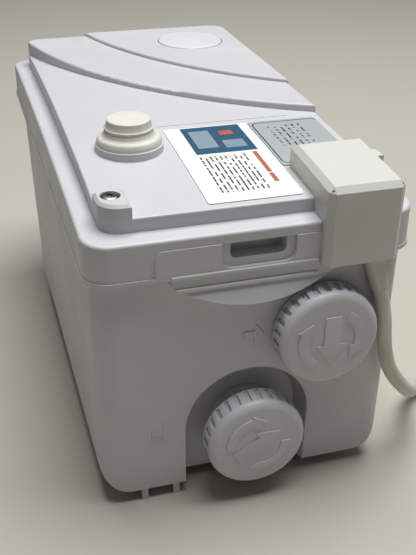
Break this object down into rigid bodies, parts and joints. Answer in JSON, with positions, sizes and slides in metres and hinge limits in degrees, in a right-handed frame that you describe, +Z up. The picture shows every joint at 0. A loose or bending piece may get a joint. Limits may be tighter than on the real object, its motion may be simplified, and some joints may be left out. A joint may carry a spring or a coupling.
{
  "type": "grey water lifting pump",
  "caption": "Compact grey water lifting pump: a tank with capped side inlets, a crowned lid with a stepped discharge boot and vent disc, a control box and a mains cord.",
  "frame": {"origin": "on the floor, under the middle of the box round the pump without its cord", "axes": "+X right along the front end with the inlet caps, +Y to the back, +Z up"},
  "size_m": [0.4262, 0.428, 0.226],
  "materials": {
    "housing_plastic": "satin moulded polypropylene",
    "box_plastic": "satin moulded ABS",
    "soft_rubber": "matt white rubber",
    "dark_rubber": "matt",
    "cord_sheath": "matt off-white sheath",
    "pump_plastic": "moulded",
    "motor_aluminium": "turned",
    "steel": "zinc plated",
    "motor_iron": "laminated",
    "charcoal_foam": "open foam",
    "white_film": "printed film",
    "grey_film": "brushed film",
    "plug_brass": "nickel plated"
  },
  "bodies": {
    "root": {"box_base": "box_plastic", "box_cover": "box_plastic", "box_screws": "steel", "capacitor": "pump_plastic", "charcoal_filter": "charcoal_foam", "check_pin": "steel", "cord_coil": "cord_sheath", "cord_gland": "cord_sheath", "diaphragm": "dark_rubber", "discharge_pipe": "pump_plastic", "feet": "dark_rubber", "grey_label": "grey_film", "inlet_recess": "housing_plastic", "lid": "housing_plastic", "lid_gasket": "dark_rubber", "lid_screws": "steel", "lower_bearing": "steel", "lower_flap_pin": "steel", "lower_inlet_neck": "housing_plastic", "mains_lead": "cord_sheath", "motor_housing": "motor_aluminium", "motor_lead": "cord_sheath", "motor_screws": "steel", "plug_body": "cord_sheath", "plug_pins": "plug_brass", "power_cord": "cord_sheath", "pressure_tube": "pump_plastic", "shaft_seal": "dark_rubber", "stator": "motor_iron", "stepped_boot": "soft_rubber", "strainer": "pump_plastic", "switch_housing": "pump_plastic", "tank": "housing_plastic", "tank_collar": "housing_plastic", "terminal_block": "box_plastic", "upper_bearing": "steel", "upper_flap_pin": "steel", "upper_inlet_neck": "housing_plastic", "valve_body": "pump_plastic", "vent_cap": "housing_plastic", "volute": "pump_plastic", "white_label": "white_film"},
    "rotor": {"rotor_shaft": "steel", "impeller": "pump_plastic"},
    "upper_cap_travel": {"upper_washer": "dark_rubber"},
    "upper_cap": {"upper_cap": "housing_plastic"},
    "lower_cap_travel": {"lower_washer": "dark_rubber"},
    "lower_cap": {"lower_cap": "housing_plastic"},
    "upper_flap": {"upper_flap": "dark_rubber"},
    "lower_flap": {"lower_flap": "dark_rubber"},
    "check_flap": {"check_flap": "dark_rubber"},
    "switch_plunger": {"switch_plunger": "pump_plastic"}
  },
  "joints": [
    {"name": "rotor_spin", "type": "hinge", "parent": "root", "child": "rotor", "pos_m": [-0.016, 0.0263, 0.1], "axis": [0, 0, 1], "continuous": true},
    {"name": "upper_cap_travel", "type": "slide", "parent": "root", "child": "upper_cap_travel", "axis": [0, -1, 0], "range_m": [0, 0.009]},
    {"name": "upper_cap_turn", "type": "hinge", "parent": "upper_cap_travel", "child": "upper_cap", "pos_m": [0.044, -0.1837, 0.117], "axis": [0, -1, 0], "range_deg": [0, 1080]},
    {"name": "lower_cap_travel", "type": "slide", "parent": "root", "child": "lower_cap_travel", "axis": [0, -1, 0], "range_m": [0, 0.009]},
    {"name": "lower_cap_turn", "type": "hinge", "parent": "lower_cap_travel", "child": "lower_cap", "pos_m": [0.0005, -0.1837, 0.046], "axis": [0, -1, 0], "range_deg": [0, 1080]},
    {"name": "upper_flap_swing", "type": "hinge", "parent": "root", "child": "upper_flap", "pos_m": [0.044, -0.1675, 0.1425], "axis": [1, 0, 0], "range_deg": [0, 60]},
    {"name": "lower_flap_swing", "type": "hinge", "parent": "root", "child": "lower_flap", "pos_m": [0.0005, -0.1545, 0.0715], "axis": [1, 0, 0], "range_deg": [0, 60]},
    {"name": "check_flap_lift", "type": "hinge", "parent": "root", "child": "check_flap", "pos_m": [-0.0523, -0.0646, 0.1195], "axis": [-1, 0, 0], "range_deg": [0, 60]},
    {"name": "switch_plunger_travel", "type": "slide", "parent": "root", "child": "switch_plunger", "axis": [0, 0, 1], "range_m": [0, 0.0015], "stiffness_N_per_m": 100, "springref_m": -0.001}
  ],
  "couplings": [
    {"joint": "upper_cap_travel", "follows": "upper_cap_turn", "m_per_rad": 0.000477},
    {"joint": "lower_cap_travel", "follows": "lower_cap_turn", "m_per_rad": 0.000477}
  ]
}
